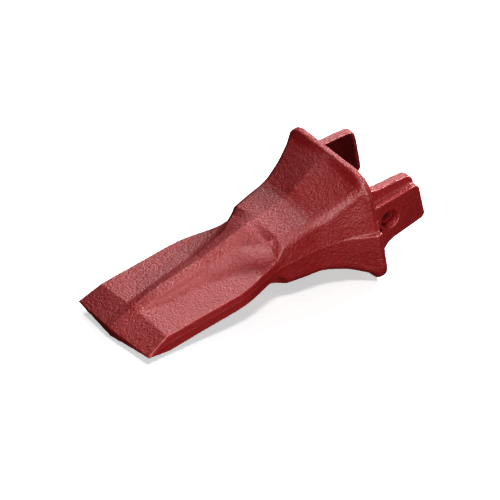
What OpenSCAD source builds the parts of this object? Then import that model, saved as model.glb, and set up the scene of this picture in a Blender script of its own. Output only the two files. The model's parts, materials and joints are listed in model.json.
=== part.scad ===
// Excavator bucket tooth: one cast tooth point with a hollow nose socket and two ears,
// held on its adapter by a quarter-turn lock in each ear.
// The casting is drawn along X, tip at the low end, then laid on its nose and collar.

/* [Cutting edge] */

// Width across the corners of the cutting edge
blade_w = 121; // [95:1:150]
// Thickness at the middle of the cutting edge
edge_t = 10.6; // [6:0.2:16]
// How far the middle of the cutting edge stands ahead of its corners
edge_bow = 4.5; // [0:0.5:12]
// Length of the sharpening bevel behind the cutting edge
bevel_l = 27; // [15:1:45]

/* [Blade] */

// Width of the blade behind the bevel
blade_side_w = 114; // [90:1:145]
// Thickness of the blade at its sides
blade_side_t = 17.6; // [12:0.2:26]
// Thickness of the blade at the foot of the rib
rib_foot_t = 22; // [16:0.5:30]
// Width of the rib's foot just behind the bevel
rib_front_w = 21; // [12:1:40]
// Thickness over the rib just behind the bevel
rib_front_t = 30; // [24:1:40]
// Thickness over the rib half way to the waist
rib_mid_t = 49; // [40:1:62]
// How deep the side flutes are scooped into the rib
flute_depth = 3.2; // [0:0.2:5]

/* [Neck] */

// Width of the neck at its waist
waist_w = 90; // [80:1:104]
// Thickness over the ridge at the neck
neck_t = 73; // [64:1:86]
// Thickness over the shoulders at the neck
shoulder_t = 61; // [52:1:68]
// Distance across the shoulders at the neck
shoulder_w = 67; // [56:1:78]

/* [Collar] */

// Length from the corners of the cutting edge to the collar's rear face
body_l = 282; // [236:1:340]
// Width of the collar's upper half
collar_w = 135; // [124:1:164]
// How far the collar's lower half stands out beyond the upper half, each side
collar_lip = 5.5; // [0:0.5:8]
// Height of the collar
collar_h = 133; // [122:1:160]
// Thickness of the collar's rim
rim_t = 6; // [4:0.5:10]
// Radius of the collar's corners
collar_r = 24; // [14:1:32]

/* [Nose socket] */

// Width of the socket at its mouth
socket_mouth_w = 84; // [70:1:90]
// Height of the socket at its mouth
socket_mouth_h = 84; // [66:1:90]
// Width of the socket at its blind end
socket_end_w = 40; // [30:1:46]
// Height of the socket at its blind end
socket_end_h = 24; // [18:1:30]
// Depth of the socket from the collar's rear face
socket_depth = 117; // [90:1:125]

/* [Ears] */

// Reach of the ears behind the collar's rear face
ear_reach = 59; // [50:1:75]
// How far each ear's inner face stands outside the socket's mouth
ear_step = 1; // [0.5:0.1:4]
// Thickness of each ear at its boss
ear_t = 18.5; // [17.5:0.5:24]
// Thickness of the rail along the ear's top
rail_t = 10.5; // [7:0.5:14]
// Height of the rail's top above the lock's centre line
rail_h = 34; // [28:1:42]
// Height of the boss above and below the lock's centre line
boss_h = 22.5; // [20:0.5:27]

/* [Lock] */

// Distance of the lock's centre line behind the collar's rear face
lock_back = 18.5; // [17:0.5:26]
// Diameter of the lock pin's journal
journal_d = 23; // [19:0.2:28]
// Wall between the journal and the counterbore, filled by the sleeve
sleeve_wall = 3.5; // [3.4:0.1:4.5]
// How much smaller than the journal the bore's open mouth is, across
mouth_step = 2; // [1:0.1:3]
// Depth of the counterbore in the ear's inner face
seat_depth = 9; // [8.4:0.1:11]
// Radial running clearance of the journal in its sleeve
running_gap = 0.08; // [0.02:0.01:0.1]
// Diameter of the locking lug
lug_d = 13; // [10:0.5:16]
// How far the locking lug stays inside the journal's edge
lug_margin = 0.6; // [0.2:0.1:2]
// How far the locking lug reaches past the ear's inner face
lug_reach = 11; // [8:0.5:14]
// Square drive in the pin's outer face, across its flats
drive_square = 9.6; // [8:0.1:10]
// Turn of the lock pin between locked and open, in degrees
lock_turn = 90; // [60:5:120]

/* [Hidden] */

left = 1;
right = -1;
fit_gap = 0.05;
body_gap = 0.3;
eps = 0.01;
bore_fn = 96;

cast_colour = [0.55, 0.16, 0.19];
steel_colour = [0.42, 0.43, 0.45];
zinc_colour = [0.66, 0.66, 0.68];
rubber_colour = [0.10, 0.10, 0.11];
urethane_colour = [0.72, 0.52, 0.16];

function mix(a, b, t) = a + (b - a) * t;

// ---- places along the casting ----
waist_x = 0.60 * body_l;
flute_end_x = 0.62 * body_l;
shoulder_x = 0.65 * body_l;
neck_x = 0.71 * body_l;
flare_x = 0.82 * body_l;
rim_x = body_l - rim_t;
lip_x = rim_x - 6;
edge_of_rim = rim_x + 0.6;
rib_mid_x = mix(bevel_l, waist_x, 0.6);

// Half the thickness over the ridge, along the casting
ridge_z = [
  [0, edge_t / 2],
  [bevel_l, rib_front_t / 2],
  [mix(bevel_l, rib_mid_x, 0.25), mix(rib_front_t, rib_mid_t, 0.58) / 2],
  [mix(bevel_l, rib_mid_x, 0.55), mix(rib_front_t, rib_mid_t, 0.86) / 2],
  [rib_mid_x, rib_mid_t / 2 + 1],
  [mix(rib_mid_x, waist_x, 0.6), mix(rib_mid_t, neck_t, 0.6) / 2],
  [waist_x, mix(rib_mid_t, neck_t, 0.84) / 2],
  [neck_x, neck_t / 2],
  [mix(neck_x, flare_x, 0.7), neck_t / 2 + 2.5],
  [flare_x, mix(neck_t, collar_h, 0.28) / 2],
  [mix(flare_x, rim_x, 0.4), mix(neck_t, collar_h, 0.58) / 2],
  [mix(flare_x, rim_x, 0.75), mix(neck_t, collar_h, 0.80) / 2],
  [lip_x, mix(neck_t, collar_h, 0.88) / 2],
  [rim_x - 1, collar_h / 2 - 1.4],
  [edge_of_rim, collar_h / 2],
  [body_l, collar_h / 2]
];

// Half the distance across the roof's edges
roof_w = [
  [0, rib_front_w / 2 - 1],
  [bevel_l, rib_front_w / 2 - 1],
  [rib_mid_x, rib_front_w / 2],
  [mix(rib_mid_x, waist_x, 0.4), rib_front_w / 2 + 3],
  [mix(rib_mid_x, waist_x, 0.7), mix(rib_front_w, shoulder_w, 0.25) / 2],
  [waist_x, mix(rib_front_w, shoulder_w, 0.72) / 2],
  [flute_end_x, mix(rib_front_w, shoulder_w, 0.86) / 2],
  [shoulder_x, shoulder_w / 2],
  [neck_x, shoulder_w / 2 + 2.8],
  [flare_x, shoulder_w / 2 + 7],
  [mix(flare_x, rim_x, 0.4), mix(shoulder_w, collar_w - 2 * collar_r, 0.62) / 2 + 6],
  [lip_x, collar_w / 2 - 12],
  [rim_x - 1, collar_w / 2 - collar_r + 1],
  [edge_of_rim, collar_w / 2 - collar_r],
  [body_l, collar_w / 2 - collar_r]
];

// Half the thickness over the roof's edges
roof_z = [
  [0, edge_t / 2 * 0.84],
  [bevel_l, rib_front_t / 2 - 2],
  [mix(bevel_l, rib_mid_x, 0.3), mix(rib_front_t, rib_mid_t, 0.50) / 2 - 2.2],
  [rib_mid_x, rib_mid_t / 2 - 2],
  [mix(rib_mid_x, waist_x, 0.4), mix(rib_mid_t, shoulder_t, 0.20) / 2 - 0.4],
  [waist_x, mix(rib_mid_t, shoulder_t, 0.42) / 2],
  [flute_end_x, mix(rib_mid_t, shoulder_t, 0.42) / 2],
  [shoulder_x, shoulder_t / 2],
  [neck_x, shoulder_t / 2 + 0.8],
  [mix(neck_x, flare_x, 0.7), shoulder_t / 2 + 2.2],
  [flare_x, mix(shoulder_t, collar_h, 0.16) / 2],
  [mix(flare_x, rim_x, 0.4), mix(shoulder_t, collar_h, 0.36) / 2],
  [mix(flare_x, rim_x, 0.75), mix(shoulder_t, collar_h, 0.58) / 2],
  [lip_x, mix(shoulder_t, collar_h, 0.67) / 2],
  [rim_x - 1, collar_h / 2 - 1.6],
  [edge_of_rim, collar_h / 2 - 0.2],
  [body_l, collar_h / 2 - 0.2]
];

// Half the distance across the rib's foot, and further back across the shoulders' lower edge
foot_w = [
  [0, rib_front_w / 2],
  [bevel_l, rib_front_w / 2 + 0.3],
  [rib_mid_x, mix(rib_front_w, waist_w, 0.54) / 2],
  [mix(rib_mid_x, waist_x, 0.5), mix(rib_front_w, waist_w, 0.77) / 2],
  [waist_x, waist_w / 2 - 1.2],
  [flute_end_x, waist_w / 2 - 1.8],
  [shoulder_x, waist_w / 2 - 1.8],
  [neck_x, waist_w / 2],
  [mix(neck_x, flare_x, 0.7), waist_w / 2 + 1.4],
  [flare_x, waist_w / 2 + 4],
  [mix(flare_x, rim_x, 0.4), mix(waist_w, collar_w, 0.40) / 2],
  [mix(flare_x, rim_x, 0.75), mix(waist_w, collar_w, 0.63) / 2],
  [lip_x, mix(waist_w, collar_w, 0.74) / 2],
  [rim_x - 1, collar_w / 2 - 1.6],
  [edge_of_rim, collar_w / 2 - 0.2],
  [body_l, collar_w / 2 - 0.2]
];

// Half the thickness over the rib's foot, and further back over the shoulders' lower edge
foot_z = [
  [0, edge_t / 2 * 0.83],
  [bevel_l, rib_foot_t / 2 + 1.5],
  [mix(bevel_l, rib_mid_x, 0.3), rib_foot_t / 2 + 0.4],
  [waist_x, rib_foot_t / 2 - 0.6],
  [flute_end_x, rib_foot_t / 2 + 0.4],
  [shoulder_x, 19],
  [neck_x, 22],
  [flare_x, 26],
  [mix(flare_x, rim_x, 0.4), 32],
  [mix(flare_x, rim_x, 0.75), 39],
  [lip_x, 44],
  [rim_x - 1, collar_h / 2 - collar_r + 1],
  [edge_of_rim, collar_h / 2 - collar_r],
  [body_l, collar_h / 2 - collar_r]
];

// Half the width at the upper edge of the side faces
side_w = [
  [0, blade_w / 2],
  [bevel_l, blade_side_w / 2],
  [mix(bevel_l, waist_x, 0.64), blade_side_w / 2 - 0.3],
  [mix(bevel_l, waist_x, 0.73), blade_side_w / 2 - 2.2],
  [mix(bevel_l, waist_x, 0.83), mix(waist_w, blade_side_w, 0.5) / 2],
  [mix(bevel_l, waist_x, 0.91), mix(waist_w, blade_side_w, 0.24) / 2],
  [waist_x, waist_w / 2],
  [flute_end_x, waist_w / 2 - 0.9],
  [shoulder_x, waist_w / 2 - 1],
  [neck_x, waist_w / 2 + 0.8],
  [mix(neck_x, flare_x, 0.7), waist_w / 2 + 2],
  [flare_x, waist_w / 2 + 5],
  [mix(flare_x, rim_x, 0.4), mix(waist_w, collar_w, 0.44) / 2],
  [mix(flare_x, rim_x, 0.75), mix(waist_w, collar_w, 0.74) / 2],
  [lip_x, mix(waist_w, collar_w, 0.86) / 2],
  [rim_x - 1, collar_w / 2 - 1.2],
  [edge_of_rim, collar_w / 2],
  [body_l, collar_w / 2]
];

// Half the thickness at the upper edge of the side faces
side_z = [
  [0, 0.6],
  [bevel_l, blade_side_t / 2 + 0.5],
  [mix(bevel_l, waist_x, 0.5), blade_side_t / 2],
  [waist_x, blade_side_t / 2 - 0.6],
  [shoulder_x, blade_side_t / 2],
  [flare_x, 12],
  [lip_x, 20],
  [body_l, 20]
];

// How far the middle of each side face stands out beyond its upper edge
side_crown = [
  [0, 0.4],
  [bevel_l, 0.3],
  [waist_x, 0.4],
  [neck_x, 0.8],
  [rim_x, 0.6],
  [body_l, 0.6]
];

// Scoop of the flutes in the blade, and swell of the shoulders behind them
flank_bulge = [
  [0, 0],
  [bevel_l, -0.2],
  [mix(bevel_l, rib_mid_x, 0.4), -0.55 * flute_depth],
  [rib_mid_x, -flute_depth],
  [waist_x, -flute_depth],
  [flute_end_x, -flute_depth],
  [flute_end_x + 4, -0.3 * flute_depth],
  [shoulder_x, 1.8],
  [flare_x, 2.2],
  [lip_x, 2.6],
  [rim_x - 1, 0.29 * collar_r],
  [body_l, 0.29 * collar_r]
];

// Extra half-width of the lower half towards the collar
lower_lip = [
  [0, 0],
  [flare_x, 0],
  [mix(flare_x, rim_x, 0.5), 0.15 * collar_lip],
  [lip_x, 0.75 * collar_lip],
  [rim_x - 1, collar_lip],
  [body_l, collar_lip]
];

stations = [
  0,
  bevel_l,
  for (t = [1 : 5]) mix(bevel_l, rib_mid_x, t / 6),
  for (t = [0 : 7]) mix(rib_mid_x, waist_x, t / 8),
  waist_x,
  flute_end_x,
  flute_end_x + 2,
  flute_end_x + 4,
  for (t = [0 : 3]) mix(shoulder_x, neck_x, t / 4),
  for (t = [0 : 4]) mix(neck_x, flare_x, t / 5),
  for (t = [0 : 6]) mix(flare_x, lip_x, t / 7),
  lip_x,
  mix(lip_x, rim_x - 1, 0.5),
  rim_x - 1,
  edge_of_rim,
  body_l
];

roof_steps = 2;
flank_steps = 6;
flat_steps = 3;

// Mid-point of a flank pushed out square to its chord
function bowed(a, b, bulge, t) =
  let (run = b - a, size = norm(run))
  a + run * t + [-run[1], run[0]] / size * bulge * 4 * t * (1 - t);

// One quarter of a cross-section, from the ridge round to the middle of the side
function quarter(s) =
  let (
    roof = [lookup(s, roof_w), lookup(s, roof_z)],
    foot = [lookup(s, foot_w), lookup(s, foot_z)],
    side = [lookup(s, side_w), lookup(s, side_z)],
    ridge = [0, lookup(s, ridge_z)],
    bulge = lookup(s, flank_bulge)
  )
  [
    for (i = [0 : roof_steps]) mix(ridge, roof, i / roof_steps),
    for (i = [1 : flank_steps]) bowed(roof, foot, bulge, i / flank_steps),
    for (i = [1 : flat_steps]) mix(foot, side, i / flat_steps),
    [side[0] + lookup(s, side_crown), 0]
  ];

quarter_last = roof_steps + flank_steps + flat_steps + 1;
half_count = 2 * quarter_last + 1;
ring_count = 2 * half_count;
ring_last = len(stations) - 1;

// The cutting edge runs ahead of its corners towards the middle
function edge_x(s, w) = s > 0 ? s : -edge_bow * (1 - abs(w) / (blade_w / 2));

function ring(s) =
  let (
    q = quarter(s),
    wide = 1 + lookup(s, lower_lip) / q[quarter_last][0],
    seam = min(0.8, 0.4 * lookup(s, side_z))
  )
  [
    for (i = [0 : half_count - 1])
      let (k = abs(quarter_last - i), turn = i <= quarter_last ? 1 : -1)
      [edge_x(s, q[k][0]), turn * q[k][0], q[k][1]],
    for (i = [0 : half_count - 1])
      let (k = abs(quarter_last - i), turn = i <= quarter_last ? -1 : 1)
      [edge_x(s, q[k][0]), turn * q[k][0] * wide, -max(q[k][1], seam)]
  ];

skin_points = [for (s = stations) each ring(s)];

skin_faces = [
  for (j = [0 : ring_last - 1])
    for (i = [0 : ring_count - 1])
      let (
        n = (i + 1) % ring_count,
        a = j * ring_count + i,
        b = j * ring_count + n,
        c = (j + 1) * ring_count + n,
        d = (j + 1) * ring_count + i
      )
      each [[a, d, c], [a, c, b]],
  for (i = [0 : half_count - 2])
    let (u = i, v = i + 1, p = ring_count - 2 - i, q = ring_count - 1 - i)
    each [[u, v, p], [u, p, q]],
  for (i = [0 : half_count - 2])
    let (
      base = ring_last * ring_count,
      u = base + i,
      v = base + i + 1,
      p = base + ring_count - 2 - i,
      q = base + ring_count - 1 - i
    )
    each [[v, u, q], [v, q, p]]
];

// ---- ears ----
lock_x = body_l + lock_back;
ear_end = body_l + ear_reach;
inner_y = socket_mouth_w / 2 + ear_step;
outer_y = inner_y + ear_t;
rail_y = inner_y + rail_t;
ear_root = body_l - 10;
corner_steps = 6;

// Points of a rounded corner, from one direction round to another
function corner(cx, cz, r, from, to) = [
  for (i = [0 : corner_steps])
    let (a = mix(from, to, i / corner_steps))
    [cx + r * cos(a), cz + r * sin(a)]
];

boss_corner_r = 6;
boss_rise = 2.5;
boss_profile = [
  [ear_root, boss_h],
  each corner(ear_end - 1.2 - boss_corner_r, boss_h - boss_corner_r, boss_corner_r, 90, 4),
  each corner(ear_end - boss_corner_r, -boss_h + boss_rise + boss_corner_r, boss_corner_r, -2, -88),
  [lock_x, -boss_h - 2],
  [lock_x - 6, -boss_h - 4.5],
  [body_l + 7, -boss_h - 9],
  [body_l + 2, -boss_h - 16],
  [ear_root, -boss_h - 20]
];

rail_corner_r = 9;
rail_profile = [
  [ear_root, rail_h + 10],
  [body_l + 1, rail_h + 8],
  [body_l + 6, rail_h + 4],
  [body_l + 14, rail_h + 1.5],
  [body_l + 38, rail_h - 0.5],
  each corner(ear_end - 2.5 - rail_corner_r, rail_h - 2 - rail_corner_r, rail_corner_r, 84, 2),
  [ear_end - 2.4, 0],
  [ear_root, 0]
];

lead_in = 7;

// ---- rest ----
// The casting rests on its rib and the collar's lower edge
heel_x = edge_of_rim;
rest_tilt = min([
  for (s = stations)
    if (s < waist_x) atan((collar_h / 2 - lookup(s, ridge_z)) / (heel_x - s))
]);
front_reach = -edge_bow * cos(rest_tilt) - edge_t / 2 * sin(rest_tilt);
ear_corner = [ear_end - boss_corner_r, -boss_h + boss_rise + boss_corner_r];
rear_reach = ear_corner[0] * cos(rest_tilt) - ear_corner[1] * sin(rest_tilt) + boss_corner_r;
floor_drop = heel_x * sin(rest_tilt) - collar_h / 2 * cos(rest_tilt);

module as_it_lies() {
  translate([-(front_reach + rear_reach) / 2, 0, -floor_drop])
    rotate([0, -rest_tilt, 0])
      children();
}

// ---- the casting ----
module skin() {
  polyhedron(points = skin_points, faces = skin_faces, convexity = 6);
}

module side_plate(profile, y0, y1) {
  translate([0, y1, 0])
    rotate([90, 0, 0])
      linear_extrude(height = y1 - y0)
        polygon(profile);
}

// Plan of an ear, with a lead-in at its inner rear corner
module ear_plan() {
  translate([0, 0, -collar_h / 2])
    linear_extrude(height = collar_h)
      polygon([
        [ear_root - 1, inner_y],
        [ear_end - lead_in, inner_y],
        [ear_end - 2.5, inner_y + 1.8],
        [ear_end + 1, inner_y + lead_in],
        [ear_end + 1, outer_y + 1],
        [ear_root - 1, outer_y + 1]
      ]);
}

module ear() {
  intersection() {
    union() {
      side_plate(boss_profile, inner_y - 1, outer_y);
      side_plate(rail_profile, inner_y - 1, rail_y);
    }
    ear_plan();
  }
}

// ---- the bore in each ear ----
seat_d = journal_d + 2 * sleeve_wall;
mouth_d = journal_d - mouth_step;
groove_at = 0.5;
groove_w = 1.35;
groove_d = seat_d + 2;

// Stepped bore of one ear, from the inner face out
module ear_bore() {
  across(0, seat_depth, seat_d / 2);
  across(seat_depth - eps, ear_t + 2, mouth_d / 2);
  across(groove_at, groove_at + groove_w, groove_d / 2);
}

socket_mouth_r = 12;
socket_end_r = 7;
socket_fn = 32;

module socket_corners(x, w, h, r) {
  for (sy = [-1, 1])
    for (sz = [-1, 1])
      translate([x, sy * (w / 2 - r), sz * (h / 2 - r)])
        rotate([0, 90, 0])
          cylinder(h = 1, r = r, $fn = socket_fn);
}

module nose_socket() {
  hull() {
    socket_corners(body_l + 0.5, socket_mouth_w, socket_mouth_h, socket_mouth_r);
    socket_corners(body_l - socket_depth, socket_end_w, socket_end_h, socket_end_r);
  }
}

module tooth_casting() {
  color(cast_colour)
    as_it_lies()
      difference() {
        union() {
          skin();
          ear();
          mirror([0, 1, 0]) ear();
        }
        nose_socket();
        at_lock(left) ear_bore();
        at_lock(right) ear_bore();
      }
}

// ---- the locks ----
// Lock parts are drawn along +Z: zero at the ear's inner face, rising towards its outer face.
ring_t = 1.2;
sleeve_z0 = groove_at + groove_w;
spring_room = 2;
flange_t = 1.6;
flange_z1 = seat_depth - spring_room;
flange_z0 = flange_z1 - flange_t;
flange_r = journal_d / 2 + 1.8;
neck_r = mouth_d / 2 - 1;
neck_top = seat_depth + 0.9;
drive_depth = 6;
lug_base = -0.4;
lug_offset = (journal_d - lug_d) / 2 - lug_margin;
stop_r = 1;
stop_wall = 0.45;
stop_centre = flange_r - 0.1;
stop_z0 = sleeve_z0 + 0.75;
seal_section = 1.8;
spring_t = 0.7;
spring_inner_r = journal_d / 2 + 0.25;
preload_gap = 0.1;

// Puts a part on an ear's bore axis
module at_lock(side) {
  translate([lock_x, side * inner_y, 0])
    rotate([-side * 90, 0, 0])
      children();
}

module across(z0, z1, r) {
  translate([0, 0, z0])
    cylinder(h = z1 - z0, r = r, $fn = bore_fn);
}

// Open sector used to cut the flange, from one angle to another
module sector(r, a0, a1, z0, z1) {
  steps = 8;
  translate([0, 0, z0])
    linear_extrude(height = z1 - z0)
      polygon([
        [0, 0],
        for (i = [0 : steps]) r * [cos(mix(a0, a1, i / steps)), sin(mix(a0, a1, i / steps))]
      ]);
}

stop_half_angle = asin((stop_r + body_gap) / stop_centre);

// The stop stands at the end of the flange's notch when the pin is locked
module lock_pin(side) {
  turn_from = side > 0 ? -lock_turn - stop_half_angle : -stop_half_angle;
  turn_to = side > 0 ? stop_half_angle : lock_turn + stop_half_angle;
  color(steel_colour)
    as_it_lies()
      at_lock(side)
        difference() {
          union() {
            across(lug_base, flange_z0 + eps, journal_d / 2);
            across(flange_z0, flange_z1, flange_r);
            across(flange_z1 - eps, neck_top, neck_r);
            translate([0, side * lug_offset, 0])
              across(-lug_reach, lug_base + eps, lug_d / 2);
          }
          translate([-drive_square / 2, -drive_square / 2, neck_top - drive_depth])
            cube([drive_square, drive_square, drive_depth + 1]);
          difference() {
            sector(flange_r + 3, turn_from, turn_to, flange_z0 - 0.5, flange_z1 + 0.5);
            across(flange_z0 - 1, flange_z1 + 1, journal_d / 2);
          }
        }
}

module lock_sleeve(side) {
  color(urethane_colour)
    as_it_lies()
      at_lock(side)
        difference() {
          across(sleeve_z0, seat_depth - fit_gap, seat_d / 2 - fit_gap);
          across(0, seat_depth + 1, journal_d / 2 + running_gap);
          across(flange_z0 - body_gap, seat_depth + 1, flange_r + body_gap);
          translate([stop_centre, 0, 0])
            across(stop_z0 - fit_gap, flange_z1 + body_gap, stop_r + fit_gap);
        }
}

ring_opening = 3.2;
ring_lug_angle = 24;
ring_hole_r = 0.7;
ring_shrink = 0.15;

module retaining_ring(side) {
  inner_r = journal_d / 2 + 1.5;
  outer_r = groove_d / 2 - ring_shrink;
  hole_at = (inner_r + outer_r) / 2 - 0.4;
  color(zinc_colour)
    as_it_lies()
      at_lock(side)
        difference() {
          across(groove_at + 0.05, groove_at + 0.05 + ring_t, outer_r);
          across(0, groove_w + 2, inner_r);
          translate([-outer_r - 1, -ring_opening / 2, 0])
            cube([outer_r, ring_opening, groove_w + 2]);
          for (a = [-1, 1])
            rotate([0, 0, 180 + a * ring_lug_angle / 2])
              translate([hole_at, 0, 0])
                cylinder(h = groove_w + 2, r = ring_hole_r, $fn = 32);
        }
}

module disc_spring(side) {
  z0 = flange_z1 + preload_gap;
  z1 = seat_depth - fit_gap;
  outer_r = flange_r + 0.2;
  color(steel_colour)
    as_it_lies()
      at_lock(side)
        rotate_extrude($fn = bore_fn)
          polygon([
            [spring_inner_r, z0],
            [spring_inner_r + 0.3, z0],
            [outer_r, z1 - spring_t],
            [outer_r, z1],
            [outer_r - 0.3, z1],
            [spring_inner_r, z0 + spring_t]
          ]);
}

module seal_ring(side) {
  color(rubber_colour)
    as_it_lies()
      at_lock(side)
        translate([0, 0, flange_z1 + preload_gap + seal_section / 2])
          rotate_extrude($fn = bore_fn)
            translate([neck_r + fit_gap + seal_section / 2, 0])
              circle(r = seal_section / 2, $fn = 32);
}

module stop_pin(side) {
  color(zinc_colour)
    as_it_lies()
      at_lock(side)
        translate([stop_centre, 0, 0])
          difference() {
            across(stop_z0, flange_z1, stop_r);
            across(stop_z0 - 1, flange_z1 + 1, stop_r - stop_wall);
          }
}

plug_sink = 0.6;
plug_recess_r = 2.4;
plug_recess_depth = 1.6;

module dust_plug(side) {
  across_flats = drive_square - 2 * fit_gap;
  plug_z0 = neck_top - drive_depth + 0.8;
  plug_z1 = neck_top - plug_sink;
  color(rubber_colour)
    as_it_lies()
      at_lock(side)
        difference() {
          translate([-across_flats / 2, -across_flats / 2, plug_z0])
            cube([across_flats, across_flats, plug_z1 - plug_z0]);
          across(plug_z1 - plug_recess_depth, plug_z1 + 1, plug_recess_r);
        }
}

tooth_casting();
lock_pin(left);  // lock_pin_left
lock_pin(right);  // lock_pin_right
lock_sleeve(left);  // lock_sleeve_left
lock_sleeve(right);  // lock_sleeve_right
retaining_ring(left);  // retaining_ring_left
retaining_ring(right);  // retaining_ring_right
disc_spring(left);  // disc_spring_left
disc_spring(right);  // disc_spring_right
seal_ring(left);  // seal_ring_left
seal_ring(right);  // seal_ring_right
stop_pin(left);  // stop_pin_left
stop_pin(right);  // stop_pin_right
dust_plug(left);  // dust_plug_left
dust_plug(right);  // dust_plug_right
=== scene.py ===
"""Looks of an excavator bucket tooth: a coated steel casting and the quarter-turn lock in each ear."""

import json
import logging
import math
from dataclasses import dataclass, field
from enum import Enum
from itertools import product
from typing import Any

import bmesh
import bpy
import numpy as np
from mathutils import Matrix, Vector


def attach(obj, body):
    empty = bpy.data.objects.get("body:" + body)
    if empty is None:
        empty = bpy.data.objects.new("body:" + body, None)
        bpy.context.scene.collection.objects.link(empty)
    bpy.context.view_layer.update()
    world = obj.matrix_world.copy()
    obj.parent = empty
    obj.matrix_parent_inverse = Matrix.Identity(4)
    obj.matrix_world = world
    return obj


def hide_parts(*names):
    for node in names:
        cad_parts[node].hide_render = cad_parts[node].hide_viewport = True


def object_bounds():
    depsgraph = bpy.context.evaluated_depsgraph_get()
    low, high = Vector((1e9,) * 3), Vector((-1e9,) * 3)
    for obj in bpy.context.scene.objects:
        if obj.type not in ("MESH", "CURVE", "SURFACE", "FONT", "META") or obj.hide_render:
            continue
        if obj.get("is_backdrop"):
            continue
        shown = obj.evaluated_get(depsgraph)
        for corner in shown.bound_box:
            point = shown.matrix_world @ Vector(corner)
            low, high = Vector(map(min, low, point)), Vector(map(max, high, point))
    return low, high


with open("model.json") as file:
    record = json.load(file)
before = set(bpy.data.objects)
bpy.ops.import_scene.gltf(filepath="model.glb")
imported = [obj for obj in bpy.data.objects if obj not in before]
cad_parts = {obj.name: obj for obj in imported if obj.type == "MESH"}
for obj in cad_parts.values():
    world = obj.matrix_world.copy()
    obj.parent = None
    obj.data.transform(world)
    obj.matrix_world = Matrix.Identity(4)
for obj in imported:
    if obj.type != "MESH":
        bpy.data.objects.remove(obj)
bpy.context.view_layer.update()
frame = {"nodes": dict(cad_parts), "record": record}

MM = 0.001
SPRAY_FADE_MM = 0.4
MID_GREY = 0.5
NOISE_CELLS = 64
SWELL_BACK = 1.02
LOG = logging.getLogger("bucket_tooth")


class Side(Enum):
    """The two sides of the tooth; the value is the sign of Y."""

    LEFT = 1
    RIGHT = -1

    @property
    def word(self) -> str:
        """The side's name as the CAD nodes spell it."""
        return self.name.lower()


class Grain(Enum):
    """Noise textures a finish can be grained with."""

    CLOUD = "ShaderNodeTexNoise"
    CELL = "ShaderNodeTexVoronoi"


# ---------------------------------------------------------------------------
# Shader expressions
# ---------------------------------------------------------------------------

Colour = tuple[float, float, float]
Band = tuple[float, float]


@dataclass(frozen=True)
class Layer:
    """One layer of grain: its size, how many finer layers ride on it, and how strong they are."""

    size_mm: float
    detail: float = 3.0
    rough: float = 0.55


class Value:
    """One output of a shader node, with the arithmetic the finishes use."""

    def __init__(self, shader: "Shader", socket: bpy.types.NodeSocket) -> None:
        """Wrap a socket.

        Args:
            shader: The shader the socket belongs to.
            socket: The output socket.
        """
        self.shader = shader
        self.socket = socket

    def _math(self, operation: str, first: Any, second: Any = 0.0) -> "Value":
        """Add one Math node.

        Args:
            operation: The node's operation.
            first: Its first input, a number or a Value.
            second: Its second input, a number or a Value.

        Returns:
            The node's output.
        """
        return self.shader.node("ShaderNodeMath", {"operation": operation}, {0: first, 1: second})

    def __add__(self, other: Any) -> "Value":
        """This plus other."""
        return self._math("ADD", self, other)

    def __radd__(self, other: Any) -> "Value":
        """Other plus this."""
        return self._math("ADD", other, self)

    def __sub__(self, other: Any) -> "Value":
        """This minus other."""
        return self._math("SUBTRACT", self, other)

    def __rsub__(self, other: Any) -> "Value":
        """Other minus this."""
        return self._math("SUBTRACT", other, self)

    def __mul__(self, other: Any) -> "Value":
        """This times other."""
        return self._math("MULTIPLY", self, other)

    def __rmul__(self, other: Any) -> "Value":
        """Other times this."""
        return self._math("MULTIPLY", other, self)

    def between(self, low: float, high: float) -> "Value":
        """A mask that rises from 0 at low to 1 at high.

        Args:
            low: The value where the mask is 0.
            high: The value where the mask is 1.

        Returns:
            The mask.
        """
        return self.shader.node(
            "ShaderNodeMapRange",
            {"interpolation_type": "SMOOTHSTEP", "clamp": True},
            {"Value": self, "From Min": low, "From Max": high, "To Min": 0.0, "To Max": 1.0},
        )


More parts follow.
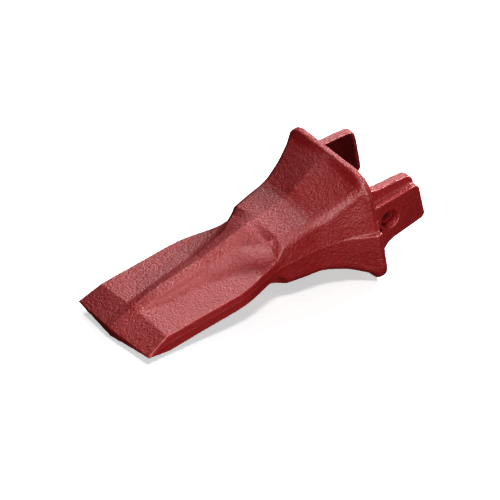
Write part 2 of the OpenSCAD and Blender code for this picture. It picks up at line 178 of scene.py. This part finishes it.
class Shader:
    """A node material that ends in one Principled surface."""

    def __init__(self, name: str) -> None:
        """Start an empty material.

        Args:
            name: The material's name.
        """
        self.material = bpy.data.materials.new(name)
        self.material.use_nodes = True
        self.tree = self.material.node_tree
        self.tree.nodes.clear()
        self.surface = self.tree.nodes.new("ShaderNodeBsdfPrincipled")
        out = self.tree.nodes.new("ShaderNodeOutputMaterial")
        self.tree.links.new(self.surface.outputs["BSDF"], out.inputs["Surface"])
        self.place = self.node("ShaderNodeTexCoord", {}, {}, "Object")

    def feed(self, socket: bpy.types.NodeSocket, value: Any) -> None:
        """Link or set one input.

        Args:
            socket: The input socket.
            value: A Value, a number, a colour or a vector.
        """
        if isinstance(value, Value):
            self.tree.links.new(value.socket, socket)
        elif isinstance(value, tuple) and socket.type == "RGBA":
            socket.default_value = (*value, 1.0)
        else:
            socket.default_value = value

    def node(self, kind: str, settings: dict[str, Any], inputs: dict[Any, Any], output: Any = 0) -> Value:
        """Add any node.

        Args:
            kind: The node's type.
            settings: Its properties, set first.
            inputs: Values or links by socket name or number.
            output: The output wanted.

        Returns:
            That output.
        """
        made = self.tree.nodes.new(kind)
        for key, value in settings.items():
            setattr(made, key, value)
        for key, value in inputs.items():
            self.feed(made.inputs[key], value)
        return Value(self, made.outputs[output])

    def grain(self, kind: Grain, layer: Layer) -> Value:
        """Noise with grains of a real size.

        Args:
            kind: Which texture.
            layer: The grains' size and finer layers.

        Returns:
            The noise, about 0 to 1.
        """
        scale = 1.0 / (layer.size_mm * MM)
        if kind is Grain.CLOUD:
            return self.node(
                kind.value,
                {"noise_dimensions": "3D"},
                {"Vector": self.place, "Scale": scale, "Detail": layer.detail, "Roughness": layer.rough},
                "Fac",
            )
        return self.node(kind.value, {"feature": "F1"}, {"Vector": self.place, "Scale": scale}, "Distance")

    def mixed(self, mask: Any, low: Any, high: Any) -> Value:
        """Two colours mixed.

        Args:
            mask: How much of the second colour.
            low: The first colour.
            high: The second colour.

        Returns:
            The mixed colour.
        """
        return self.node(
            "ShaderNodeMix",
            {"data_type": "RGBA", "blend_type": "MIX", "clamp_factor": True},
            {0: mask, 6: low, 7: high},
            2,
        )

    def sprayed(self, from_mm: float) -> Value:
        """A mask of what stands further out to either side than a distance: what a spray reached.

        Args:
            from_mm: The distance from the middle plane in millimetres.

        Returns:
            The mask.
        """
        across = self.node("ShaderNodeSeparateXYZ", {}, {0: self.place}, "Y")
        out = self.node("ShaderNodeMath", {"operation": "ABSOLUTE"}, {0: across})
        return out.between((from_mm - SPRAY_FADE_MM) * MM, from_mm * MM)

    def painted(self, name: str) -> Value:
        """A mask that the mesh carries per vertex.

        Args:
            name: The attribute's name.

        Returns:
            Its value.
        """
        return self.node("ShaderNodeAttribute", {"attribute_name": name}, {}, "Fac")

    def bump(self, height: Value, depth_mm: float, strength: float = 1.0, under: Any = None) -> Value:
        """A bumped normal.

        Args:
            height: The relief, 0 to 1.
            depth_mm: Its real depth in millimetres.
            strength: How much of it shows.
            under: A bumped normal it adds to.

        Returns:
            The normal.
        """
        inputs: dict[str, Any] = {"Height": height, "Distance": depth_mm * MM, "Strength": strength}
        if under is not None:
            inputs["Normal"] = under
        return self.node("ShaderNodeBump", {}, inputs)

    def finish(self, **inputs: Any) -> bpy.types.Material:
        """Fill the surface's sockets.

        Args:
            **inputs: Socket names, with underscores for spaces.

        Returns:
            The finished material.
        """
        for key, value in inputs.items():
            self.feed(self.surface.inputs[key.replace("_", " ")], value)
        return self.material


# ---------------------------------------------------------------------------
# Finishes
# ---------------------------------------------------------------------------


@dataclass(frozen=True)
class CastCoat:
    """Dark red primer coat on a sand-cast steel skin."""

    name: str = "cast_red_coat"
    body: Colour = (0.31, 0.016, 0.018)
    deep: Colour = (0.22, 0.008, 0.010)
    dusty: Colour = (0.42, 0.050, 0.052)
    speck: Layer = Layer(1.7, 2.0, 0.6)
    sand: Layer = Layer(3.2, 4.0, 0.6)
    cloud: Layer = Layer(26.0, 3.0, 0.5)
    pit: Layer = Layer(5.5)
    sand_depth_mm: float = 1.0
    speck_depth_mm: float = 0.6
    pit_depth_mm: float = 0.3
    pit_strength: float = 0.7
    pit_rim: Band = (0.10, 0.26)
    pit_patch: Band = (0.48, 0.62)
    fade_band: Band = (0.25, 0.75)
    dust_band: Band = (0.46, 0.74)
    speck_band: Band = (0.50, 0.28)
    fade_share: float = 0.35
    fade_base: float = 0.65
    dust_share: float = 0.30
    speck_share: float = 0.35
    edge_share: float = 0.55
    # How far concave hollows darken towards the deep tone: painted shade.
    hollow_share: float = 0.75
    pit_share: float = 0.5
    rough: float = 0.40
    rough_sand: float = 0.16
    rough_edge: float = 0.08
    rough_hollow: float = 0.14
    gloss: float = 1.0
    index: float = 1.6

    def build(self) -> bpy.types.Material:
        """Make the material.

        Returns:
            The material.
        """
        s = Shader(self.name)
        speck = s.grain(Grain.CLOUD, self.speck)
        sand = s.grain(Grain.CLOUD, self.sand)
        cloud = s.grain(Grain.CLOUD, self.cloud)
        pits = 1.0 - s.grain(Grain.CELL, self.pit).between(*self.pit_rim)
        pits = pits * cloud.between(*self.pit_patch)
        edge = s.painted("edge")
        hollow = s.painted("hollow")
        fade = cloud.between(*self.fade_band) * self.fade_share + self.fade_base
        # Hollows and cast pits pull the coat towards the deep tone: in the hollows this is painted shade,
        # while the pits are the casting's own.
        pits_and_painted_shade = (hollow * self.hollow_share + pits * self.pit_share).between(0.0, 1.0)
        tone = s.mixed(fade, self.deep, self.body)
        tone = s.mixed(sand.between(*self.dust_band) * self.dust_share, tone, self.dusty)
        tone = s.mixed(speck.between(*self.speck_band) * self.speck_share, tone, self.deep)
        tone = s.mixed(edge * self.edge_share, tone, self.dusty)
        tone = s.mixed(pits_and_painted_shade, tone, self.deep)
        rough = self.rough + sand * self.rough_sand - edge * self.rough_edge + hollow * self.rough_hollow
        relief = s.bump(sand, self.sand_depth_mm)
        relief = s.bump(speck, self.speck_depth_mm, 1.0, relief)
        relief = s.bump(1.0 - pits, self.pit_depth_mm, self.pit_strength, relief)
        return s.finish(
            Base_Color=tone,
            Roughness=rough,
            Normal=relief,
            Specular_IOR_Level=self.gloss,
            IOR=self.index,
        )


@dataclass(frozen=True)
class WorkedSteel:
    """Steel with a machined, blued, phosphated or plated face."""

    name: str
    body: Colour
    worn: Colour
    metal: float = 0.85
    rough: float = 0.38
    grain: Layer = Layer(0.5)
    broad: Layer = Layer(6.0, 2.0)
    broad_band: Band = (0.35, 0.65)
    fine_band: Band = (0.45, 0.62)
    fine_share: float = 0.5
    rough_fine: float = 0.25
    rough_broad: float = 0.2
    dull_band: Band = (0.5, 0.8)
    dull_share: float = 0.2
    depth_mm: float = 0.02
    relief: float = 0.8
    spray: Colour = (0.24, 0.012, 0.014)
    spray_from_mm: float = 52.4

    def build(self) -> bpy.types.Material:
        """Make the material.

        Returns:
            The material.
        """
        s = Shader(self.name)
        fine = s.grain(Grain.CLOUD, self.grain)
        broad = s.grain(Grain.CLOUD, self.broad)
        tone = s.mixed(broad.between(*self.broad_band), self.body, self.worn)
        tone = s.mixed(fine.between(*self.fine_band) * self.fine_share, tone, self.worn)
        rough = self.rough + (fine - MID_GREY) * self.rough_fine + (broad - MID_GREY) * self.rough_broad
        coat = s.sprayed(self.spray_from_mm)
        return s.finish(
            Base_Color=s.mixed(coat, tone, self.spray),
            Roughness=rough,
            Metallic=(self.metal - broad.between(*self.dull_band) * self.dull_share) * (1 - coat),
            Normal=s.bump(fine, self.depth_mm, self.relief),
        )


@dataclass(frozen=True)
class MouldedElastomer:
    """Moulded rubber or urethane with a faint mould grain and dust."""

    name: str
    body: Colour
    dust: Colour
    rough: float = 0.62
    grain: Layer = Layer(0.45, 2.0)
    broad: Layer = Layer(4.0, 3.0)
    dust_band: Band = (0.45, 0.7)
    dust_share: float = 0.5
    rough_fine: float = 0.2
    depth_mm: float = 0.03
    relief: float = 0.7
    gloss: float = 0.4
    spray: Colour = (0.15, 0.008, 0.010)
    spray_from_mm: float = 52.0

    def build(self) -> bpy.types.Material:
        """Make the material.

        Returns:
            The material.
        """
        s = Shader(self.name)
        fine = s.grain(Grain.CLOUD, self.grain)
        broad = s.grain(Grain.CLOUD, self.broad)
        tone = s.mixed(broad.between(*self.dust_band) * self.dust_share, self.body, self.dust)
        tone = s.mixed(s.sprayed(self.spray_from_mm), tone, self.spray)
        return s.finish(
            Base_Color=tone,
            Roughness=self.rough + (fine - MID_GREY) * self.rough_fine,
            Normal=s.bump(fine, self.depth_mm, self.relief),
            Specular_IOR_Level=self.gloss,
        )


@dataclass(frozen=True)
class PaleFloor:
    """Plain pale studio floor."""

    name: str = "pale_floor"
    tone: Colour = (0.86, 0.86, 0.86)
    cloud: Layer = Layer(400.0, 2.0)
    cloud_share: float = 0.2
    cloud_shade: float = 0.97
    rough: float = 0.9
    glow: float = 0.35

    def build(self) -> bpy.types.Material:
        """Make the material.

        Returns:
            The material.
        """
        s = Shader(self.name)
        cloud = s.grain(Grain.CLOUD, self.cloud)
        shaded = tuple(self.cloud_shade * c for c in self.tone)
        return s.finish(
            Base_Color=s.mixed(cloud * self.cloud_share, self.tone, shaded),
            Roughness=self.rough,
            Emission_Color=self.tone,
            Emission_Strength=self.glow,
        )


# ---------------------------------------------------------------------------
# Mesh help
# ---------------------------------------------------------------------------


def link(name: str, data: bpy.types.ID) -> bpy.types.Object:
    """Put a mesh, lamp or camera in the scene.

    Args:
        name: The object's name.
        data: What it shows.

    Returns:
        The object.
    """
    obj = bpy.data.objects.new(name, data)
    bpy.context.scene.collection.objects.link(obj)
    return obj


def outward(azimuth: float, elevation: float) -> Vector:
    """The way from the tooth to a lamp or camera.

    Args:
        azimuth: Degrees round the tooth; 0 looks along +Y.
        elevation: Degrees above the floor.

    Returns:
        The direction, one metre long.
    """
    a, e = math.radians(azimuth), math.radians(elevation)
    return Vector((math.sin(a) * math.cos(e), -math.cos(a) * math.cos(e), math.sin(e)))


def settle(obj: bpy.types.Object) -> None:
    """Turn an object's modifiers into its mesh.

    Args:
        obj: The object.
    """
    deps = bpy.context.evaluated_depsgraph_get()
    made = bpy.data.meshes.new_from_object(obj.evaluated_get(deps), depsgraph=deps)
    obj.modifiers.clear()
    old = obj.data
    obj.data = made
    bpy.data.meshes.remove(old)


def modify(obj: bpy.types.Object, kind: str, **settings: Any) -> bpy.types.Modifier:
    """Add a modifier.

    Args:
        obj: The object.
        kind: The modifier's type.
        **settings: Its properties.

    Returns:
        The modifier.
    """
    made = obj.modifiers.new(kind.lower(), kind)
    for key, value in settings.items():
        setattr(made, key, value)
    return made


def lattice_noise(points: np.ndarray, size: float, seed: int) -> np.ndarray:
    """Smooth noise in space.

    Args:
        points: Places, one a row, in metres.
        size: The size of one swell, in metres.
        seed: Which noise.

    Returns:
        Values from -1 to 1.
    """
    side = NOISE_CELLS
    grid = np.random.default_rng(seed).uniform(-1.0, 1.0, (side, side, side))
    cell = points / size
    low = np.floor(cell).astype(int)
    part = cell - low
    part = part * part * (3.0 - 2.0 * part)
    total = np.zeros(len(points))
    for corner in product((0, 1), repeat=3):
        weight = np.prod(np.where(corner, part, 1 - part), axis=1)
        at = (low + corner) % side
        total += weight * grid[at[:, 0], at[:, 1], at[:, 2]]
    return total


class Skin:
    """A dense mesh worked on as arrays."""

    def __init__(self, mesh: bpy.types.Mesh) -> None:
        """Read a mesh.

        Args:
            mesh: The mesh.
        """
        self.mesh = mesh
        count = len(mesh.vertices)
        self.points = np.empty(count * 3)
        mesh.vertices.foreach_get("co", self.points)
        self.points = self.points.reshape(-1, 3)
        self.edges = np.empty(len(mesh.edges) * 2, int)
        mesh.edges.foreach_get("vertices", self.edges)
        self.edges = self.edges.reshape(-1, 2)
        self.links = np.bincount(self.edges.ravel(), minlength=count).clip(1)[:, None]

    def normals(self) -> np.ndarray:
        """Vertex normals of the mesh as it is written back."""
        out = np.empty(len(self.mesh.vertices) * 3)
        self.mesh.vertex_normals.foreach_get("vector", out)
        return out.reshape(-1, 3)

    def averaged(self, values: np.ndarray) -> np.ndarray:
        """Each vertex's mean over its neighbours.

        Args:
            values: One row a vertex.

        Returns:
            The means.
        """
        flat = values.reshape(len(values), -1)
        total = np.zeros_like(flat)
        a, b = self.edges[:, 0], self.edges[:, 1]
        for column in range(flat.shape[1]):
            total[:, column] = np.bincount(a, flat[b, column], len(flat)) + np.bincount(
                b, flat[a, column], len(flat)
            )
        return (total / self.links).reshape(values.shape)

    def relax(self, rounds: int, pull: float) -> None:
        """Soften the surface without shrinking it.

        Args:
            rounds: How many double steps.
            pull: How far each step moves, 0 to 1.
        """
        for _ in range(rounds):
            for step in (pull, -pull * SWELL_BACK):
                self.points += step * (self.averaged(self.points) - self.points)

    def write(self) -> None:
        """Put the points back in the mesh."""
        self.mesh.vertices.foreach_set("co", self.points.ravel())
        self.mesh.update()

    def paint(self, name: str, values: np.ndarray) -> None:
        """Store a mask on the vertices.

        Args:
            name: The mask's name.
            values: One value a vertex.
        """
        layer = self.mesh.attributes.new(name, "FLOAT", "POINT")
        layer.data.foreach_set("value", values.astype(np.float32))


# ---------------------------------------------------------------------------
# The casting
# ---------------------------------------------------------------------------


@dataclass
class LyingFrame:
    """The casting's own axes as it lies: length from the collar's face, width, height."""

    seat: Vector
    back: Vector

    @classmethod
    def from_record(cls, record: dict[str, Any]) -> "LyingFrame":
        """Read the axes from the record's nose socket.

        Args:
            record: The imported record.

        Returns:
            The frame.
        """
        socket = next(m for m in record["mounts"] if m["name"] == "nose_socket")
        return cls(Vector(socket["pos_m"]), Vector(socket["axis"]).normalized())

    def split(self, points: np.ndarray) -> tuple[np.ndarray, np.ndarray, np.ndarray]:
        """Places in the casting's own axes.

        Args:
            points: Places in the row frame.

        Returns:
            Length (negative towards the tip), width and height.
        """
        away = points - np.array(self.seat)
        back = np.array(self.back)
        up = np.array((-back[2], 0.0, back[0]))
        return away @ back, away[:, 1], away @ up


@dataclass(frozen=True)
class Swell:
    """One noise that lifts the skin."""

    rise_mm: float
    size: float
    seed: int


@dataclass
class Casting:
    """The tooth's one casting: blade, ribs, neck, collar, socket and ears."""

    lying: LyingFrame
    coat: CastCoat = field(default_factory=CastCoat)
    voxel: float = 0.9 * MM
    soften_rounds: int = 2
    soften_pull: float = 0.5
    swells: tuple[Swell, ...] = (
        Swell(0.22, 34 * MM, 3),
        Swell(0.10, 11 * MM, 5),
        Swell(0.075, 4.6 * MM, 7),
        Swell(0.05, 2.3 * MM, 11),
    )
    seam_half: float = 1.3 * MM
    seam_rise: float = 0.35 * MM
    seam_facing: float = 0.6
    seam_end: float = 8 * MM
    machined_fade: float = 3 * MM
    cutter_clear: float = 3 * MM
    groove_ease: float = 0.8
    bore_facets: int = 96
    mask_rounds: int = 4
    mask_bend: float = 0.05 * MM
    edge_from: float = 0.35
    hollow_from: float = 0.25
    mouth_radius: float = 10.5 * MM
    seat_radius: float = 15.0 * MM
    seat_depth: float = 9.0 * MM
    groove_radius: float = 16.0 * MM
    groove_from: float = 0.5 * MM
    groove_to: float = 1.85 * MM
    bore_back: float = 18.5 * MM
    inner_face: float = 43.0 * MM
    outer_face: float = 61.5 * MM
    lead: float = 0.7 * MM
    node: str = "tooth_casting"

    def build(self) -> bpy.types.Object:
        """Sculpt, bore and dress the casting.

        Returns:
            The casting's object.
        """
        source = frame["nodes"][self.node]
        obj = link("casting_skin", source.data.copy())
        obj.data.materials.clear()
        modify(obj, "REMESH", mode="VOXEL", voxel_size=self.voxel)
        settle(obj)
        self._sculpt(obj.data)
        for side in Side:
            self._bore(obj, side)
        self._mask(obj.data)
        obj.data.materials.clear()
        obj.data.materials.append(self.coat.build())
        obj.data.polygons.foreach_set("use_smooth", [True] * len(obj.data.polygons))
        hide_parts(self.node)
        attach(obj, "tooth")
        return obj

    def _sculpt(self, mesh: bpy.types.Mesh) -> None:
        """Round the edges as a casting's are, and add swell, sand grain and the parting seam.

        Args:
            mesh: The casting's mesh.
        """
        skin = Skin(mesh)
        skin.relax(self.soften_rounds, self.soften_pull)
        skin.write()
        length, width, height = self.lying.split(skin.points)
        normal = skin.normals()
        swell = sum(n.rise_mm * lattice_noise(skin.points, n.size, n.seed) for n in self.swells) * MM
        sideways = (normal[:, 1] * np.sign(width)).clip(0, 1)
        seam = (1 - np.abs(height) / self.seam_half).clip(0, 1)
        seam = seam * (sideways > self.seam_facing) * (length < -self.seam_end)
        keep = 1 - self._near_bore(length, height)
        skin.points += normal * ((swell * keep) + seam * self.seam_rise)[:, None]
        skin.write()

    def _near_bore(self, length: np.ndarray, height: np.ndarray) -> np.ndarray:
        """1 on the machined ring round the lock bores, falling to 0 outside it.

        Args:
            length: Lengths from the collar's face.
            height: Heights from the centre line.

        Returns:
            The mask.
        """
        away = np.hypot(length - self.bore_back, height)
        return (1 - (away - self.groove_radius) / self.machined_fade).clip(0, 1)

    def _bore(self, obj: bpy.types.Object, side: Side) -> None:
        """Cut one stepped bore clean, with eased mouths.

        Args:
            obj: The casting.
            side: Which ear.
        """
        clear = self.cutter_clear
        steps = [
            (self.inner_face - clear, 0.0),
            (self.inner_face - clear, self.seat_radius + self.lead),
            (self.inner_face, self.seat_radius + self.lead),
            (self.inner_face + self.groove_from * self.groove_ease, self.seat_radius),
            (self.inner_face + self.groove_from, self.groove_radius),
            (self.inner_face + self.groove_to, self.groove_radius),
            (self.inner_face + self.groove_to, self.seat_radius),
            (self.inner_face + self.seat_depth, self.seat_radius),
            (self.inner_face + self.seat_depth, self.mouth_radius),
            (self.outer_face - self.lead, self.mouth_radius),
            (self.outer_face + clear, self.mouth_radius + self.lead + clear),
            (self.outer_face + clear, 0.0),
        ]
        centre = self.lying.seat + self.lying.back * self.bore_back
        tool = link("bore_cutter", self._turned(steps, centre, side, self.bore_facets))
        modify(obj, "BOOLEAN", operation="DIFFERENCE", object=tool, solver="EXACT")
        settle(obj)
        bpy.data.objects.remove(tool)

    @staticmethod
    def _turned(
        steps: list[tuple[float, float]], centre: Vector, side: Side, count: int
    ) -> bpy.types.Mesh:
        """A solid turned about an axis across the tooth.

        Args:
            steps: (distance out from the middle, radius) pairs that start and end on the axis.
            centre: A point on the axis.
            side: Which side it stands on.
            count: Facets round it.

        Returns:
            The mesh.
        """
        bm = bmesh.new()
        rings = []
        for out, radius in steps:
            y = side.value * out
            if radius == 0.0:
                rings.append([bm.verts.new((centre.x, y, centre.z))])
                continue
            rings.append(
                [
                    bm.verts.new(
                        (
                            centre.x + radius * math.cos(2 * math.pi * i / count),
                            y,
                            centre.z + radius * math.sin(2 * math.pi * i / count),
                        )
                    )
                    for i in range(count)
                ]
            )
        for low, high in zip(rings, rings[1:]):
            for i in range(count):
                n = (i + 1) % count
                if len(low) == 1:
                    bm.faces.new((low[0], high[i], high[n]))
                elif len(high) == 1:
                    bm.faces.new((low[i], high[0], low[n]))
                else:
                    bm.faces.new((low[i], high[i], high[n], low[n]))
        bmesh.ops.recalc_face_normals(bm, faces=bm.faces)
        mesh = bpy.data.meshes.new("turned")
        bm.to_mesh(mesh)
        bm.free()
        return mesh

    def _mask(self, mesh: bpy.types.Mesh) -> None:
        """Paint where the coat is thin on edges, and where the surface is hollow, which the coat darkens
        as painted shade and roughens.

        Args:
            mesh: The casting's mesh.
        """
        skin = Skin(mesh)
        normal = skin.normals()
        bend = np.einsum("ij,ij->i", skin.points - skin.averaged(skin.points), normal)
        for _ in range(self.mask_rounds):
            bend = skin.averaged(bend)
        skin.paint("edge", ((bend / self.mask_bend) - self.edge_from).clip(0, 1))
        # The hollow mask: the coat darkens these places as painted shade.
        skin.paint("hollow", ((-bend / self.mask_bend) - self.hollow_from).clip(0, 1))


# ---------------------------------------------------------------------------
# The locks
# ---------------------------------------------------------------------------


@dataclass
class LockFinishes:
    """One material for each kind of lock part, shared by both sides."""

    pin: WorkedSteel = WorkedSteel("phosphated_pin", (0.055, 0.05, 0.05), (0.12, 0.11, 0.105), 0.55, 0.5)
    plate: WorkedSteel = WorkedSteel("zinc_plate", (0.52, 0.53, 0.55), (0.66, 0.66, 0.67), 0.95, 0.3)
    spring: WorkedSteel = WorkedSteel("blued_spring", (0.07, 0.08, 0.12), (0.16, 0.15, 0.15), 0.9, 0.3)
    sleeve: MouldedElastomer = MouldedElastomer("urethane", (0.42, 0.22, 0.035), (0.5, 0.34, 0.12), 0.5)
    seal: MouldedElastomer = MouldedElastomer("nitrile_seal", (0.02, 0.02, 0.022), (0.06, 0.055, 0.05))
    plug: MouldedElastomer = MouldedElastomer("plug_rubber", (0.022, 0.02, 0.02), (0.09, 0.05, 0.045), 0.7)

    def build(self) -> dict[str, bpy.types.Material]:
        """Make the materials.

        Returns:
            Materials by the start of the node name they dress.
        """
        plate = self.plate.build()
        return {
            "lock_pin": self.pin.build(),
            "lock_sleeve": self.sleeve.build(),
            "retaining_ring": plate,
            "disc_spring": self.spring.build(),
            "seal_ring": self.seal.build(),
            "stop_pin": plate,
            "dust_plug": self.plug.build(),
        }


@dataclass
class Lock:
    """The quarter-turn lock in one ear: its CAD nodes, eased and dressed."""

    side: Side
    finishes: dict[str, bpy.types.Material]
    ease: dict[str, float] = field(
        default_factory=lambda: {
            "lock_pin": 0.35 * MM,
            "lock_sleeve": 0.25 * MM,
            "retaining_ring": 0.12 * MM,
            "stop_pin": 0.08 * MM,
            "dust_plug": 0.45 * MM,
        }
    )
    weld: float = 0.002 * MM
    sharp: float = 0.6

    def dress(self) -> list[str]:
        """Ease the edges and give each part its finish.

        Returns:
            The nodes dressed.
        """
        done = []
        for part, material in self.finishes.items():
            name = f"{part}_{self.side.word}"
            node = frame["nodes"][name]
            node.data.materials.clear()
            node.data.materials.append(material)
            if part in self.ease:
                ease = {"width": self.ease[part], "segments": 2}
                modify(node, "WELD", merge_threshold=self.weld)
                modify(node, "BEVEL", limit_method="ANGLE", angle_limit=self.sharp, **ease)
            done.append(name)
        return done


# ---------------------------------------------------------------------------
# The studio
# ---------------------------------------------------------------------------


@dataclass(frozen=True)
class Lamp:
    """One soft lamp, placed round the tooth."""

    name: str
    azimuth: float
    elevation: float
    power: float
    size: float
    distance: float = 1.6

    def build(self, aim: Vector) -> None:
        """Hang the lamp and point it.

        Args:
            aim: What it points at.
        """
        data = bpy.data.lights.new(self.name, "AREA")
        data.shape = "DISK"
        data.size = self.size
        data.energy = self.power
        lamp = link(self.name, data)
        away = outward(self.azimuth, self.elevation)
        lamp.location = aim + away * self.distance
        lamp.rotation_euler = (-away).to_track_quat("-Z", "Y").to_euler()


@dataclass(frozen=True)
class Studio:
    """Pale floor, soft lamps and the camera."""

    camera_azimuth: float = -36.769
    camera_elevation: float = 33.375
    camera_roll: float = 1.953
    camera_distance: float = 12.5
    lens: float = 900.0
    sensor: float = 36.0
    clip_end: float = 100.0
    aim_right: float = -0.00029
    aim_up: float = -0.01691
    floor_half: float = 6.0
    floor_cells: int = 8
    sky: float = 0.02
    lamps: tuple[Lamp, ...] = (
        Lamp("key", 96.0, 33.0, 24.0, 0.3),
        Lamp("front_low", -28.0, 12.0, 17.0, 0.25),
        Lamp("front_high", -28.0, 64.0, 7.0, 0.3),
        Lamp("back_high", 150.0, 45.0, 9.0, 0.4),
    )

    def build(self) -> None:
        """Make the floor, lamps, sky and camera."""
        low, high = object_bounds()
        centre = (low + high) / 2
        self._floor(low.z)
        for lamp in self.lamps:
            lamp.build(centre)
        world = bpy.data.worlds.new("studio_sky")
        world.use_nodes = True
        world.node_tree.nodes["Background"].inputs["Color"].default_value = (1, 1, 1, 1)
        world.node_tree.nodes["Background"].inputs["Strength"].default_value = self.sky
        bpy.context.scene.world = world
        self._camera(centre)

    def _floor(self, level: float) -> None:
        """Lay the floor.

        Args:
            level: Its height.
        """
        bm = bmesh.new()
        cells = self.floor_cells
        bmesh.ops.create_grid(bm, x_segments=cells, y_segments=cells, size=self.floor_half)
        bmesh.ops.translate(bm, verts=bm.verts, vec=(0, 0, level))
        mesh = bpy.data.meshes.new("studio_floor")
        bm.to_mesh(mesh)
        bm.free()
        floor = link("studio_floor", mesh)
        floor.visible_diffuse = False
        floor.visible_glossy = False
        floor.data.materials.append(PaleFloor().build())
        floor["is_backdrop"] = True

    def _camera(self, centre: Vector) -> None:
        """Stand the camera.

        Args:
            centre: The middle of the tooth's box.
        """
        data = bpy.data.cameras.new("studio_camera")
        data.lens = self.lens
        data.sensor_width = self.sensor
        data.clip_end = self.clip_end
        camera = link("studio_camera", data)
        back = outward(self.camera_azimuth, self.camera_elevation)
        level = back.to_track_quat("Z", "Y").to_matrix()
        turned = level @ Matrix.Rotation(math.radians(self.camera_roll), 3, "Z")
        aim = centre + turned.col[0] * self.aim_right + turned.col[1] * self.aim_up
        camera.matrix_world = Matrix.Translation(aim + back * self.camera_distance) @ turned.to_4x4()
        bpy.context.scene.camera = camera


def main() -> None:
    """Build the tooth's looks and the studio, in order."""
    logging.basicConfig(level=logging.INFO, format="%(name)s: %(message)s")
    bpy.context.scene.view_settings.view_transform = "Standard"
    bpy.context.scene.view_settings.look = "High Contrast"
    lying = LyingFrame.from_record(frame["record"])
    casting = Casting(lying)
    skin = casting.build()
    LOG.info("casting: %d faces", len(skin.data.polygons))
    finishes = LockFinishes().build()
    for side in Side:
        LOG.info("%s lock: %s", side.word, ", ".join(Lock(side, finishes).dress()))
    Studio().build()


if __name__ == "__main__":
    main()
